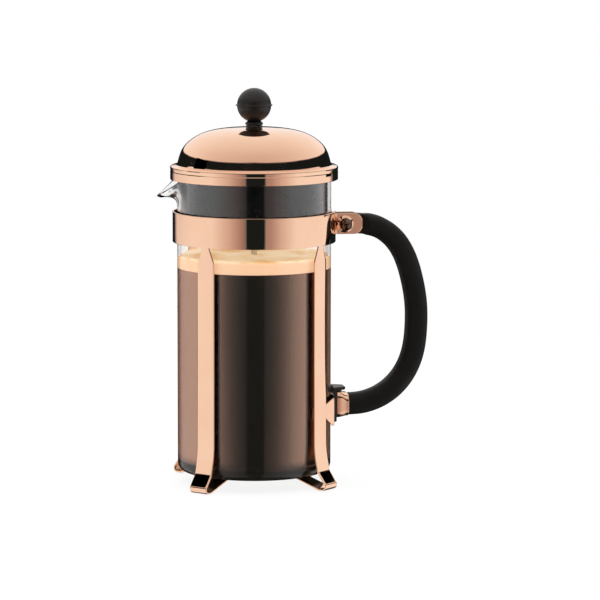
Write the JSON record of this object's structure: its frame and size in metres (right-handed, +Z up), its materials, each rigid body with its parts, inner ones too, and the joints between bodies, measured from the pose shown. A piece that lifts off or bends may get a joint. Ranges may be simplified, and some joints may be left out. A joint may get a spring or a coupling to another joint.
{
  "type": "coffee press",
  "caption": "Glass coffee press in a clamped copper frame with folded feet, a bent black handle, a domed lid and a ball-topped filter plunger.",
  "frame": {"origin": "on the beaker's axis, in the plane the four feet stand on", "axes": "+Z up along the beaker's axis, +X from the axis towards the handle, spout towards -X"},
  "size_m": [0.1713, 0.1048, 0.2472],
  "materials": {
    "copper": "polished copper plate on steel sheet",
    "black_plastic": "satin black moulded plastic",
    "brass": "turned brass",
    "glass": "clear heat-resistant glass",
    "steel": "bright stainless steel"
  },
  "bodies": {
    "frame": {"frame_shell": "copper", "base_plate": "copper", "base_rivet_1": "copper", "base_rivet_2": "copper", "base_rivet_3": "copper", "base_rivet_4": "copper", "handle_bracket": "copper", "handle_foot": "black_plastic", "handle_collar": "copper", "handle": "black_plastic", "clamp_screw": "copper", "clamp_washer": "copper", "clamp_nut": "copper"},
    "glass": {"beaker": "glass"},
    "bush": {"rod_bush": "black_plastic"},
    "lid": {"lid_cover": "copper", "lid_liner": "black_plastic"},
    "plunger": {"knob": "black_plastic", "knob_insert": "brass", "plunger_rod": "steel", "cross_plate": "steel", "filter_mesh": "steel", "spiral_plate": "steel", "edge_spring": "steel", "rod_nut": "steel"}
  },
  "joints": [
    {"name": "beaker_lift", "type": "slide", "parent": "frame", "child": "glass", "axis": [0, 0, 1], "range_m": [0, 0.175]},
    {"name": "lid_lift", "type": "slide", "parent": "glass", "child": "bush", "axis": [0, 0, 1], "range_m": [0, 0.195]},
    {"name": "lid_turn", "type": "hinge", "parent": "bush", "child": "lid", "pos_m": [0, 0, 0.197], "axis": [0, 0, 1], "continuous": true},
    {"name": "plunger_slide", "type": "slide", "parent": "bush", "child": "plunger", "axis": [0, 0, 1], "range_m": [0, 0.13]}
  ]
}
